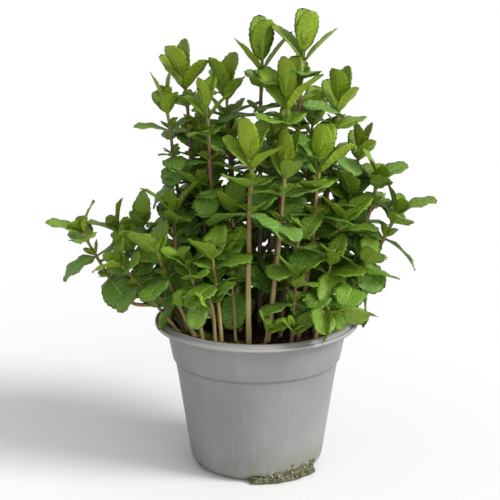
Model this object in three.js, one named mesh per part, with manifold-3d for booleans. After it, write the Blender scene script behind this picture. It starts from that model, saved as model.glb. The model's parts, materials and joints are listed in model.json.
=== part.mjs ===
// A potted mint plant: a grey plastic nursery pot, the soil in it, and the mint shoots that grow
// out of the soil. Millimetres, +Z up. The origin is the centre of the pot's base, on the surface
// that the pot stands on. The front of the plant faces -Y.

import * as THREE from "three";
import { mergeVertices } from "three/addons/utils/BufferGeometryUtils.js";
import Module from "manifold-3d";

const wasm = await Module();
wasm.setup();

// ---------------------------------------------------------------- driving dimensions

const GAP = 0.3; // clearance between two pieces that touch
const SEAM = 0.002; // corners closer than this are one corner
const FINE = 0.01; // details finer than this are smoothed away

// Pot
const POT_HEIGHT = 98;
const POT_SIDES = 36;
const WALL = 1.4;
const BASE_RADIUS = 34; // the flat part of the base
const CORNER_RADIUS = 9; // rounding between base and wall
const CORNER_STEPS = 3;
const WALL_TOP_RADIUS = 52.3; // outside of the wall, just under the step
const STEP_HEIGHT = 71; // where the wall steps out to the collar
const STEP_RISE = 1.2;
const COLLAR_FOOT_RADIUS = 53.8;
const COLLAR_TOP_RADIUS = 58.2;
const RIM_RADIUS = 65;
const RIM_DROP = 4; // from the top of the rim to the bottom of its outer edge
const SLOT_COUNT = 6; // drain slots in the rounded corner of the base
const SLOT = { width: 7, length: 12, height: 10, radius: 37 };

// Soil
const SOIL_LEVEL = 90;
const SOIL_RINGS = 3;
const SOIL_LUMP = 1.3; // how far the soil's surface rises and falls

// Mint
const PLANTED_DEPTH = 6; // how far each stem goes down into the soil
const STEM_STEPS = 4;
const LEAF_THICKNESS = 0.9; // at the midrib, and thin at the edge
const LEAF_BANDS = 3;
const BLADE_RATIO = 0.31; // half the blade's width to its length
const BLADE_DROOP = 0.2; // how far the blade's tip bends down, to its length

// Leaf pairs from the tip of a shoot downwards: how far below the tip, the length against the
// shoot's own leaf length, and the angle that the leaf makes with the stem, in degrees. The tiny
// leaves of the bud at the very tip, which these pairs hide, are left out.
const PAIRS = [
  { below: 3, size: 0.95, angle: 11 },
  { below: 9, size: 1.0, angle: 38 },
  { below: 20, size: 1.0, angle: 62 },
  { below: 37, size: 1.0, angle: 88 },
  { below: 54, size: 0.95, angle: 104 },
  { below: 72, size: 0.9, angle: 112 },
  { below: 90, size: 0.85, angle: 114 },
  { below: 110, size: 0.8, angle: 114 },
  { below: 130, size: 0.75, angle: 114 },
];

// A shoot whose tip is lower than this spreads its leaves wider, by so many degrees.
const LOW_TIP = 200;
const LOW_SPREAD = 20;
const WIDEST = 122; // no leaf stands further than this from its stem

// How far round the stem a leaf may stand aside to keep clear of its neighbours, in degrees.
const ASIDE = [0, 14, -14, 28, -28, 42, -42];

// Every shoot: name, where it leaves the soil [x, y], the points that its stem goes through, the
// last one being its tip, the number of leaf pairs, the leaf length, the stem's thickness and the
// compass turn of its top pair in degrees (0 is left and right).
const SHOOTS = [
  // tall shoots, left to right
  ["tall_shoot_1", [-30, 8], [[-47, 10, 160], [-57, 10, 236]], 8, 23, 2.9, 20],
  ["tall_shoot_2", [-24, 15], [[-37, 18, 165], [-46, 20, 250]], 8, 28, 3.1, 50],
  ["tall_shoot_3", [-20, -4], [[-27, -6, 165], [-31, -5, 236]], 8, 23, 2.9, 70],
  ["tall_shoot_4", [-12, 16], [[-16, 16, 165], [-19, 15, 244]], 8, 25, 2.9, 30],
  ["tall_shoot_5", [2, 7], [[2, 6, 170], [3, 5, 264]], 9, 29, 3.4, 100],
  ["tall_shoot_6", [14, 4], [[22, 0, 175], [29, -4, 271]], 9, 28, 3.4, 95],
  ["tall_shoot_7", [9, -9], [[14, -12, 165], [19, -13, 243]], 6, 31, 3.4, 60],
  ["tall_shoot_8", [27, 12], [[42, 12, 155], [52, 10, 237]], 8, 25, 3.1, 40],
  ["tall_shoot_9", [36, 20], [[55, 19, 145], [66, 15, 205]], 7, 22, 2.6, 25],
  ["tall_shoot_10", [44, -6], [[61, -4, 132], [77, 0, 190]], 6, 24, 3.1, 10],
  ["tall_shoot_11", [47, -16], [[66, -14, 124], [88, -10, 170]], 5, 27, 3.1, 0],
  ["tall_shoot_12", [-5, -38], [[-5, -37, 150], [-3, -34, 210]], 4, 29, 3.8, 50],
  ["tall_shoot_13", [6, -34], [[12, -32, 140], [18, -28, 203]], 4, 26, 3.4, 20],
  ["tall_shoot_14", [25, -20], [[34, -18, 148], [39, -15, 204]], 5, 28, 3.4, 75],
  // shoots of the left side, which lean out over the rim
  ["side_shoot_1", [-44, -8], [[-50, -9, 130], [-52, -10, 170]], 5, 30, 3.4, 15],
  ["side_shoot_2", [-36, 12], [[-58, 9, 122], [-73, 5, 158]], 4, 24, 2.6, 50],
  ["side_shoot_3", [-42, 17], [[-70, 15, 122], [-90, 14, 152]], 4, 25, 2.6, 10],
  ["side_shoot_4", [-42, -20], [[-66, -22, 116], [-86, -24, 140]], 3, 25, 2.6, 35],
  ["side_shoot_5", [-34, -30], [[-50, -30, 118], [-62, -29, 150]], 4, 27, 2.9, 60],
  ["side_shoot_6", [-44, 1], [[-64, -3, 116], [-79, -7, 146]], 3, 25, 2.6, 80],
  ["runner", [-46, 7], [[-54, 6, 101], [-66, 3, 104], [-79, 0, 106], [-91, 0, 119], [-111, 0, 155]],
    4, 26, 2.8, 5],
  // middle shoots
  ["middle_shoot_1", [-20, 27], [[-29, 26, 150], [-36, 24, 208]], 7, 27, 2.9, 45],
  ["middle_shoot_2", [-9, 26], [[-13, 27, 150], [-17, 28, 214]], 7, 27, 2.9, 5],
  ["middle_shoot_3", [20, 22], [[29, 22, 150], [36, 22, 220]], 8, 27, 2.9, 80],
  ["middle_shoot_4", [28, 28], [[39, 29, 145], [49, 29, 194]], 6, 27, 2.9, 20],
  ["middle_shoot_5", [39, 7], [[51, 8, 140], [60, 9, 178]], 5, 28, 2.9, 65],
  ["middle_shoot_6", [35, -10], [[46, -12, 135], [54, -14, 166]], 5, 28, 2.9, 38],
  ["middle_shoot_7", [-24, 2], [[-31, 2, 140], [-36, 2, 184]], 6, 28, 2.9, 30],
  ["middle_shoot_8", [-10, -14], [[-13, -16, 135], [-15, -17, 172]], 5, 27, 2.9, 80],
  ["middle_shoot_9", [14, -20], [[20, -24, 130], [27, -27, 158]], 4, 25, 2.6, 55],
  ["middle_shoot_10", [45, -24], [[57, -27, 120], [68, -30, 143]], 3, 25, 2.6, 85],
  // back shoots
  ["back_shoot_1", [7, 40], [[9, 43, 145], [10, 46, 200]], 7, 27, 2.9, 35],
  ["back_shoot_2", [-16, 40], [[-23, 43, 140], [-28, 46, 188]], 6, 27, 2.9, 70],
  ["back_shoot_3", [27, 38], [[34, 43, 138], [39, 48, 184]], 6, 27, 2.9, 10],
  ["back_shoot_4", [-34, 30], [[-43, 33, 122], [-50, 37, 152]], 4, 27, 2.9, 85],
  ["back_shoot_5", [42, 24], [[56, 30, 124], [68, 37, 158]], 4, 27, 2.9, 50],
  ["back_shoot_6", [-5, 47], [[-6, 58, 120], [-6, 69, 154]], 4, 27, 2.6, 0],
  ["back_shoot_7", [19, 44], [[26, 57, 118], [32, 70, 145]], 3, 25, 2.6, 30],
  ["back_shoot_8", [-25, 41], [[-35, 54, 118], [-44, 63, 144]], 3, 25, 2.6, 60],
  // sprouts at soil height, front ones first
  ["sprout_1", [-21, -40], [[-24, -42, 122], [-27, -44, 150]], 3, 26, 2.6, 65],
  ["sprout_2", [-32, -38], [[-37, -40, 120], [-41, -42, 143]], 3, 25, 2.6, 10],
  ["sprout_3", [-13, -29], [[-15, -30, 124], [-17, -32, 150]], 3, 24, 2.2, 38],
  ["sprout_4", [-25, -42], [[-27, -45, 114], [-30, -49, 126], [-33, -54, 125]], 2, 23, 2.2, 80],
  ["sprout_5", [21, -37], [[23, -38, 116], [25, -39, 137]], 3, 24, 2.2, 20],
  ["sprout_6", [36, -26], [[41, -27, 118], [46, -28, 142]], 3, 25, 2.2, 60],
  ["sprout_7", [4, -49], [[5, -50, 98], [7, -51, 106]], 1, 17, 1.9, 10],
  ["sprout_8", [19, -47], [[21, -48, 97], [23, -49, 104]], 1, 20, 2.2, 40],
  ["sprout_9", [34, -38], [[38, -42, 108], [42, -47, 118], [45, -52, 116]], 2, 28, 2.4, 5],
  ["sprout_10", [50, -8], [[54, -8, 100], [58, -9, 110]], 2, 24, 2.2, 70],
  ["sprout_11", [40, 28], [[45, 33, 102], [52, 40, 119]], 2, 24, 2.2, 35],
  ["sprout_12", [-41, 24], [[-46, 30, 102], [-57, 40, 120]], 2, 24, 2.2, 75],
];

// Leaves that have fallen on the soil: place, compass turn and length.
const FALLEN_LEAVES = [
  { x: -3, y: -52.5, turn: 5, length: 8 },
  { x: -41, y: -31, turn: 130, length: 10 },
  { x: 12, y: -50, turn: 10, length: 8 },
];

// Moss cushions on the soil: place and radius.
const MOSS = [
  { x: -36, y: -22, radius: 8 },
  { x: -15, y: -46, radius: 7 },
];

const rad = THREE.MathUtils.degToRad;

// ---------------------------------------------------------------- solids

// A closed mesh as a solid that can be joined and cut.
function toSolid(geometry) {
  const bare = geometry.clone();
  bare.deleteAttribute("normal");
  bare.deleteAttribute("uv");
  const merged = mergeVertices(bare, SEAM);
  const corners = merged.index.array;
  const triVerts = [];
  for (let i = 0; i < corners.length; i += 3) {
    const [a, b, c] = corners.slice(i, i + 3);
    if (a !== b && b !== c && c !== a) {
      triVerts.push(a, b, c);
    }
  }
  const mesh = new wasm.Mesh({
    numProp: 3,
    vertProperties: merged.getAttribute("position").array,
    triVerts: Uint32Array.from(triVerts),
  });
  return new wasm.Manifold(mesh);
}

function toGeometry(solid) {
  const mesh = solid.getMesh();
  const geometry = new THREE.BufferGeometry();
  geometry.setAttribute("position", new THREE.BufferAttribute(mesh.vertProperties, 3));
  geometry.setIndex(new THREE.BufferAttribute(mesh.triVerts, 1));
  geometry.computeVertexNormals();
  return geometry;
}

// The largest body of a solid, without any scrap that a cut has set free.
function largestBody(solid) {
  const bodies = toSolid(toGeometry(solid)).decompose();
  bodies.sort((a, b) => b.volume() - a.volume());
  return bodies[0];
}

function boxesMeet(one, other) {
  return [0, 1, 2].every((k) => one.min[k] < other.max[k] && other.min[k] < one.max[k]);
}

function cutBy(solid, tools) {
  let rest = solid;
  for (const tool of tools) {
    if (boxesMeet(rest.boundingBox(), tool.boundingBox())) {
      rest = rest.subtract(tool);
    }
  }
  return rest;
}

// A profile of [radius, height] points turned about the Z axis.
function turned(profile) {
  const points = profile.map(([radius, height]) => new THREE.Vector2(radius, height));
  return new THREE.LatheGeometry(points, POT_SIDES).rotateX(Math.PI / 2);
}

// ---------------------------------------------------------------- pot and soil

// One quarter-round corner between base and wall, from the base outwards and up.
function cornerArc(radius, inset) {
  const lean = rad(8.5);
  return Array.from({ length: CORNER_STEPS + 1 }, (_, i) => {
    const angle = -Math.PI / 2 + (i / CORNER_STEPS) * (Math.PI / 2 - lean);
    return [
      BASE_RADIUS + radius * Math.cos(angle),
      inset + radius + radius * Math.sin(angle),
    ];
  });
}

// The pot's outside from the base to the collar's top, grown by a margin.
function outsideProfile(margin) {
  return [
    [0, -margin],
    ...cornerArc(CORNER_RADIUS + margin, -margin),
    [WALL_TOP_RADIUS + margin, STEP_HEIGHT - STEP_RISE / 2],
    [COLLAR_FOOT_RADIUS + margin, STEP_HEIGHT + STEP_RISE / 2],
    [COLLAR_TOP_RADIUS + margin, POT_HEIGHT - RIM_DROP + 1],
  ];
}

// The pot's inside from the floor's centre up to the rim, drawn in by a margin.
function insideProfile(margin) {
  const inset = WALL + margin;
  return [
    [0, inset],
    ...cornerArc(CORNER_RADIUS - inset, inset),
    [WALL_TOP_RADIUS - inset, STEP_HEIGHT - STEP_RISE / 2 + 0.2],
    [COLLAR_FOOT_RADIUS - inset, STEP_HEIGHT + STEP_RISE / 2 + 0.2],
    [COLLAR_TOP_RADIUS - inset, POT_HEIGHT - RIM_DROP + 1],
  ];
}

function makePot() {
  const rim = [
    [RIM_RADIUS - 1, POT_HEIGHT - RIM_DROP + 0.6],
    [RIM_RADIUS - 0.5, POT_HEIGHT - RIM_DROP],
    [RIM_RADIUS, POT_HEIGHT - RIM_DROP + 0.6],
    [RIM_RADIUS, POT_HEIGHT - 2.2],
    [RIM_RADIUS - 1.6, POT_HEIGHT - 0.9],
    [RIM_RADIUS - 4.2, POT_HEIGHT],
    [COLLAR_TOP_RADIUS - 0.2, POT_HEIGHT - 0.5],
  ];
  const profile = [...outsideProfile(0), ...rim, ...insideProfile(0).reverse()];
  const slots = Array.from({ length: SLOT_COUNT }, (_, i) => {
    const slot = new THREE.BoxGeometry(SLOT.length, SLOT.width, SLOT.height);
    slot.translate(SLOT.radius, 0, 0);
    return toSolid(slot.rotateZ(((i + 0.5) / SLOT_COUNT) * Math.PI * 2));
  });
  return cutBy(toSolid(turned(profile)), slots);
}

// The soil's height over its level at a place: low lumps, a little higher at the middle.
function soilLump(x, y) {
  const wave = Math.sin(x * 0.31 + 1.3) * Math.cos(y * 0.27) + 0.6 * Math.sin(x * 0.13 - y * 0.19);
  return SOIL_LUMP * (wave - (x * x + y * y) / 4000);
}

// Filled by the pot's inside, with a lumpy top that the stems and fallen leaves press into.
function makeSoil(pressedIn) {
  const side = insideProfile(GAP).slice(0, -1);
  const edgeRadius = COLLAR_TOP_RADIUS - WALL - GAP - 1.2;
  const top = Array.from({ length: SOIL_RINGS }, (_, i) => [
    edgeRadius * (1 - i / SOIL_RINGS),
    SOIL_LEVEL,
  ]);
  const geometry = turned([...side, ...top, [0, SOIL_LEVEL]]);
  const places = geometry.getAttribute("position");
  for (let i = 0; i < places.count; i += 1) {
    if (places.getZ(i) > SOIL_LEVEL - 0.01) {
      places.setZ(i, SOIL_LEVEL + soilLump(places.getX(i), places.getY(i)));
    }
  }
  return largestBody(cutBy(toSolid(geometry), pressedIn));
}

// Roots and moss that have crept out of the drain slots into the gap under the base's round edge.
// They climb the wall towards the right.
function makeRootClump() {
  const profile = [
    [36, 0.4],
    [46.5, 0],
    [48, 2],
    [47.2, 6],
    [45.6, 9.5],
    [43, 11],
    [36, 3],
    [36, 0.4],
  ];
  const ring = turned(profile);
  const places = ring.getAttribute("position");
  for (let i = 0; i < places.count; i += 1) {
    const [x, y] = [places.getX(i), places.getY(i)];
    const climb = THREE.MathUtils.smoothstep(x / Math.hypot(x, y), 0, 0.64);
    places.setZ(i, places.getZ(i) * (0.42 + 0.58 * climb));
  }
  const sector = new THREE.Shape();
  sector.moveTo(0, 0);
  sector.lineTo(-14, -80);
  sector.lineTo(40, -80);
  sector.lineTo(78, -48);
  const wedge = toSolid(new THREE.ExtrudeGeometry(sector, { depth: 20, bevelEnabled: false }));
  const clump = cutBy(toSolid(ring).intersect(wedge), [toSolid(turned(closedOutside(GAP)))]);
  return largestBody(clump);
}

// The pot's outside with a flat lid, as one full solid.
function closedOutside(margin) {
  const outside = outsideProfile(margin);
  return [...outside, [0, outside.at(-1)[1]]];
}

// ---------------------------------------------------------------- mint

// The route of a shoot's stem, from below the soil's surface to its tip.
function stemRoute([, [x, y], points]) {
  const route = [[x, y, SOIL_LEVEL - PLANTED_DEPTH], ...points];
  return new THREE.CatmullRomCurve3(route.map((place) => new THREE.Vector3(...place)));
}

// A square stem along its route.
function stemSolid(route, thickness) {
  const half = thickness / 2;
  const section = new THREE.Shape();
  section.moveTo(half, 0);
  section.lineTo(0, half);
  section.lineTo(-half, 0);
  section.lineTo(0, -half);
  const steps = Math.max(STEM_STEPS, route.points.length + 2);
  return toSolid(new THREE.ExtrudeGeometry(section, { steps, extrudePath: route }));
}

// One leaf: a sphere of three sides, flat above and ridged below along the midrib, drawn out into
// a blade that is widest below its middle, pointed at the tip and bent down towards its end. With
// a margin it is the room that the leaf takes up, which has four sides.
function leafSolid({ place, along, across, up, length }, margin) {
  const sides = margin > 0 ? 4 : 3;
  const blade = new THREE.SphereGeometry(1, sides, LEAF_BANDS);
  blade.rotateY(margin > 0 ? Math.PI / 4 : Math.PI / 2);
  blade.scale(1 / Math.sin(Math.PI / sides), 1, margin > 0 ? Math.SQRT2 : 1);
  const places = blade.getAttribute("position");
  const point = new THREE.Vector3();
  for (let i = 0; i < places.count; i += 1) {
    point.fromBufferAttribute(places, i);
    const run = (1 - point.y) / 2;
    const side = point.x * (1.13 - 0.57 * run);
    const end = run * (length + margin);
    const droop = (BLADE_DROOP * end * end) / length;
    const rise = point.z * (LEAF_THICKNESS / 1.5 + margin) - droop;
    point.copy(place);
    point.addScaledVector(along, end);
    point.addScaledVector(across, side * (BLADE_RATIO * length + margin));
    point.addScaledVector(up, rise);
    places.setXYZ(i, point.x, point.y, point.z);
  }
  return toSolid(blade);
}

// Where the leaves of a shoot grow: in opposite pairs, each a quarter turn from the one above it.
function leafSpots([, , points, pairs, length, , turn], route) {
  const total = route.getLength();
  const spread = points.at(-1)[2] < LOW_TIP ? LOW_SPREAD : 0;
  return PAIRS.slice(0, pairs).flatMap(({ below, size, angle }, pair) => {
    const run = Math.max(0.05, 1 - below / total);
    const place = route.getPointAt(run);
    const stem = route.getTangentAt(run);
    return [0, 180].map((half) => ({
      place,
      stem,
      compass: turn + 90 * pair + half,
      angle: Math.min(angle + spread, WIDEST),
      length: size * length,
    }));
  });
}

// A leaf's place and directions, with the leaf standing aside by some degrees.
function leafFrame({ place, stem, compass, angle, length }, aside) {
  const heading = rad(compass + aside);
  const outward = new THREE.Vector3(Math.cos(heading), Math.sin(heading), 0);
  outward.addScaledVector(stem, -outward.dot(stem)).normalize();
  const along = stem.clone().multiplyScalar(Math.cos(rad(angle)));
  along.addScaledVector(outward, Math.sin(rad(angle)));
  const up = stem.clone().multiplyScalar(Math.sin(rad(angle)));
  up.addScaledVector(outward, -Math.cos(rad(angle)));
  const across = new THREE.Vector3().crossVectors(up, along);
  return { place, along, across, up, length };
}

function isClear(solid, tools) {
  const box = solid.boundingBox();
  return tools.every((tool) => !boxesMeet(box, tool.boundingBox()) || solid.intersect(tool).isEmpty());
}

// The first way a leaf can stand clear of its neighbours, or else its natural one.
function settledLeaf(spot, neighbours) {
  const ways = ASIDE.map((aside) => leafFrame(spot, aside));
  return ways.find((way) => isClear(leafSolid(way, 0), neighbours)) ?? ways[0];
}

// All shoots. A leaf gives way to the pot, to the stems and to the leaves of the shoots made
// before it.
function makeShoots() {
  const drafts = SHOOTS.map((shoot) => {
    const route = stemRoute(shoot);
    const thickness = shoot[5];
    return {
      name: shoot[0],
      stem: stemSolid(route, thickness),
      stemRoom: stemSolid(route, thickness + 4 * GAP),
      spots: leafSpots(shoot, route),
    };
  });
  const potRoom = toSolid(turned([...closedOutside(GAP).slice(0, -2),
    [RIM_RADIUS + GAP, POT_HEIGHT - RIM_DROP - GAP],
    [RIM_RADIUS + GAP, POT_HEIGHT + GAP],
    [COLLAR_TOP_RADIUS - WALL - GAP, POT_HEIGHT + GAP],
    [COLLAR_FOOT_RADIUS - WALL - GAP, STEP_HEIGHT],
    [0, STEP_HEIGHT]]));
  const taken = [];
  return drafts.map((draft) => {
    const stems = drafts.filter((other) => other !== draft).map((other) => other.stemRoom);
    const neighbours = [potRoom, ...stems, ...taken];
    const leaves = draft.spots.map((spot) => settledLeaf(spot, neighbours));
    const blades = wasm.Manifold.union(leaves.map((leaf) => leafSolid(leaf, 0)));
    const whole = draft.stem.add(cutBy(blades, neighbours));
    taken.push(...leaves.map((leaf) => leafSolid(leaf, GAP)));
    return { name: draft.name, solid: largestBody(whole.simplify(FINE)), room: draft.stemRoom };
  });
}

// ---------------------------------------------------------------- small things on the soil

function fallenLeaf({ x, y, turn, length }, margin) {
  const along = new THREE.Vector3(Math.cos(rad(turn)), Math.sin(rad(turn)), 0);
  const up = new THREE.Vector3(0, 0, 1);
  const across = new THREE.Vector3().crossVectors(up, along);
  const place = new THREE.Vector3(x, y, SOIL_LEVEL + 0.8);
  place.addScaledVector(along, -length / 2);
  return leafSolid({ place, along, across, up, length }, margin);
}

function mossCushion({ x, y, radius }, margin) {
  const cushion = new THREE.SphereGeometry(radius + margin, 10, 4);
  cushion.rotateX(Math.PI / 2);
  cushion.scale(1, 1, 0.35);
  return toSolid(cushion.translate(x, y, SOIL_LEVEL));
}

// ---------------------------------------------------------------- the assembly

const COLOURS = {
  pot: new THREE.MeshStandardMaterial({ color: 0x969696, roughness: 0.5, metalness: 0 }),
  soil: new THREE.MeshStandardMaterial({ color: 0x2b2118, roughness: 0.95, metalness: 0 }),
  roots: new THREE.MeshStandardMaterial({ color: 0x6f6b3c, roughness: 0.95, metalness: 0 }),
  mint: new THREE.MeshStandardMaterial({ color: 0x4f8a2b, roughness: 0.55, metalness: 0 }),
  fallen: new THREE.MeshStandardMaterial({ color: 0xa9a33c, roughness: 0.7, metalness: 0 }),
  moss: new THREE.MeshStandardMaterial({ color: 0x6c7524, roughness: 0.95, metalness: 0 }),
};

const plant = new THREE.Group();

function add(name, solid, material) {
  const mesh = new THREE.Mesh(toGeometry(solid), material);
  mesh.name = name;
  plant.add(mesh);
}

const shoots = makeShoots();
const shootRoom = shoots.map(({ room }) => room);
const fallenRoom = FALLEN_LEAVES.map((leaf) => fallenLeaf(leaf, GAP));
const mossRoom = MOSS.map((cushion) => mossCushion(cushion, GAP));

add("pot", makePot(), COLOURS.pot);
add("potting_soil", makeSoil([...shootRoom, ...fallenRoom, ...mossRoom]), COLOURS.soil);
add("root_clump", makeRootClump(), COLOURS.roots);
for (const { name, solid } of shoots) {
  add(name, solid, COLOURS.mint);
}
FALLEN_LEAVES.forEach((leaf, i) => {
  add(`fallen_leaf_${i + 1}`, fallenLeaf(leaf, 0), COLOURS.fallen);
});
MOSS.forEach((cushion, i) => {
  const free = cutBy(mossCushion(cushion, 0), shootRoom);
  add(`moss_${i + 1}`, largestBody(free), COLOURS.moss);
});

export default plant;
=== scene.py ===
# The looks of a potted mint plant: a satin grey nursery pot, peaty soil with moss, and the leafy
# shoots. Lengths in the tables are millimetres; the meshes are metres, +Z up, front towards -Y.

import json
import math

import bmesh
import bpy
import numpy as np
from mathutils import Matrix, Vector, noise

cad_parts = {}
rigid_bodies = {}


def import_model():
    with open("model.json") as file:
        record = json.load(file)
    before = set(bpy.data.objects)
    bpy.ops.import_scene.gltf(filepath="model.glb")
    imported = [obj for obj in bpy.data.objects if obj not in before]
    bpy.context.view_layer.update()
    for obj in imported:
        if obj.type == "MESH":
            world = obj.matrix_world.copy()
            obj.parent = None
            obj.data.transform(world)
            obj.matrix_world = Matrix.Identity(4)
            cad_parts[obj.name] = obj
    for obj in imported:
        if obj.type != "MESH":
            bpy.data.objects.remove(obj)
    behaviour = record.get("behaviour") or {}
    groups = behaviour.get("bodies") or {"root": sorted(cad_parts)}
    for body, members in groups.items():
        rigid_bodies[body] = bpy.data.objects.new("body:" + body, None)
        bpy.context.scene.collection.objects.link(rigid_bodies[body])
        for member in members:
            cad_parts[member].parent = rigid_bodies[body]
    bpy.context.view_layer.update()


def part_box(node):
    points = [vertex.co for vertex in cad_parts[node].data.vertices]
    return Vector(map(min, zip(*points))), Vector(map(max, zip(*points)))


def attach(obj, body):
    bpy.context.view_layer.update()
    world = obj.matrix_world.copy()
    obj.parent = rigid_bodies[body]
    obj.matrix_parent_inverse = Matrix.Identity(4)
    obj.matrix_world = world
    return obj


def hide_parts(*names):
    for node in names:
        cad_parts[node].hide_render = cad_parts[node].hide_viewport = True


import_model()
scene = bpy.context.scene
MM = 0.001

# ---- camera, light and floor

LOOK_AT = Vector((-0.0042, 0, 0.1413))
CAMERA_PLACE = Vector((-0.0042, -0.9659, 0.4001))
CAMERA_LENS = 113.6

camera = bpy.data.objects.new("camera", bpy.data.cameras.new("camera"))
camera.data.sensor_width = 36
camera.data.lens = CAMERA_LENS
camera.data.clip_start = 0.01
camera.location = CAMERA_PLACE
camera.rotation_euler = (LOOK_AT - CAMERA_PLACE).to_track_quat("-Z", "Y").to_euler()
scene.collection.objects.link(camera)
scene.camera = camera
scene.view_settings.view_transform = "Standard"


def add_sun(name, comes_from, strength, softness):
    lamp = bpy.data.lights.new(name, "SUN")
    lamp.energy = strength
    lamp.angle = math.radians(softness)
    holder = bpy.data.objects.new(name, lamp)
    holder.rotation_euler = Vector(comes_from).to_track_quat("Z", "Y").to_euler()
    scene.collection.objects.link(holder)


add_sun("key_light", comes_from=(0.74, -0.3, 0.6), strength=2.9, softness=24)
add_sun("fill_light", comes_from=(0.45, -0.82, 0.36), strength=1.0, softness=60)

sky = bpy.data.worlds.new("studio")
sky.use_nodes = True
sky.node_tree.nodes["Background"].inputs["Color"].default_value = (1, 1, 1, 1)
sky.node_tree.nodes["Background"].inputs["Strength"].default_value = 0.6
scene.world = sky

# ---- nodes


class Wire:
    """An output socket that can be used in sums."""

    def __init__(self, nodes, socket):
        self.nodes = nodes
        self.socket = socket

    def _maths(self, operation, first, second):
        return self.nodes.node("ShaderNodeMath", {"operation": operation}, {0: first, 1: second})

    def __add__(self, other):
        return self._maths("ADD", self, other)

    __radd__ = __add__

    def __sub__(self, other):
        return self._maths("SUBTRACT", self, other)

    def __rsub__(self, other):
        return self._maths("SUBTRACT", other, self)

    def __mul__(self, other):
        return self._maths("MULTIPLY", self, other)

    __rmul__ = __mul__

    def __abs__(self):
        return self._maths("ABSOLUTE", self, 0)

    def __mod__(self, other):
        return self._maths("FLOORED_MODULO", self, other)


class Nodes:
    """A node tree, built one node at a time."""

    def __init__(self, tree):
        self.tree = tree

    def node(self, kind, settings=(), inputs=(), output=0):
        made = self.tree.nodes.new(kind)
        for name, value in dict(settings).items():
            setattr(made, name, value)
        for key, value in dict(inputs).items():
            self.put(value, made.inputs[key])
        return Wire(self, made.outputs[output])

    def geo(self, kind, inputs, settings=()):
        return self.node("GeometryNode" + kind, settings, inputs)

    def put(self, value, socket):
        if isinstance(value, Wire):
            self.tree.links.new(value.socket, socket)
        elif isinstance(value, list):
            for one in value:
                self.put(one, socket)
        else:
            socket.default_value = value


def colour(code):
    """The linear colour of a hex code."""
    parts = [int(code[i : i + 2], 16) / 255 for i in (1, 3, 5)]
    linear = [p / 12.92 if p <= 0.04045 else ((p + 0.055) / 1.055) ** 2.4 for p in parts]
    return (*linear, 1)


class Finish(Nodes):
    """A material. Its fixed values are set on the surface's own sockets."""

    def __init__(self, name, **fixed):
        self.material = bpy.data.materials.new(name)
        self.material.use_nodes = True
        super().__init__(self.material.node_tree)
        self.surface = self.tree.nodes["Principled BSDF"]
        for socket, value in fixed.items():
            self.surface.inputs[socket.replace("_", " ")].default_value = value

    def place(self):
        return self.node("ShaderNodeTexCoord", output=3)

    def attribute(self, name, output=2):
        return self.node("ShaderNodeAttribute", {"attribute_name": name}, output=output)

    def part(self, vector, axis):
        return self.node("ShaderNodeSeparateXYZ", inputs={0: vector}, output=axis)

    def stretched(self, vector, scale):
        settings = {"operation": "MULTIPLY"}
        return self.node("ShaderNodeVectorMath", settings, {0: vector, 1: scale})

    def noise(self, vector, scale, detail=3, roughness=0.55):
        inputs = {"Vector": vector, "Scale": scale, "Detail": detail, "Roughness": roughness}
        return self.node("ShaderNodeTexNoise", inputs=inputs)

    def step(self, value, low, high):
        """0 below low, 1 above high and smooth between them."""
        settings = {"interpolation_type": "SMOOTHSTEP"}
        return self.node("ShaderNodeMapRange", settings, {0: value, 1: low, 2: high})

    def mix(self, share, first, second):
        """One colour over another. A hex code stands for its colour."""
        first, second = (colour(c) if isinstance(c, str) else c for c in (first, second))
        settings = {"data_type": "RGBA"}
        return self.node("ShaderNodeMix", settings, {0: share, 6: first, 7: second}, output=2)

    def layered(self, base, *layers):
        """A base colour with others laid over it in turn, each as (its share, the colour)."""
        for share, over in layers:
            base = self.mix(share, base, over)
        return base

    def finish(self, base, rough, height=None, depth=0.0003, strength=0.5):
        self.put(base, self.surface.inputs["Base Color"])
        self.put(rough, self.surface.inputs["Roughness"])
        if height is not None:
            inputs = {"Strength": strength, "Distance": depth, "Height": height}
            self.put(self.node("ShaderNodeBump", inputs=inputs), self.surface.inputs["Normal"])
        return self.material


# ---- finishes


VEIN_COUNT = 7  # along each half of a leaf


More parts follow.
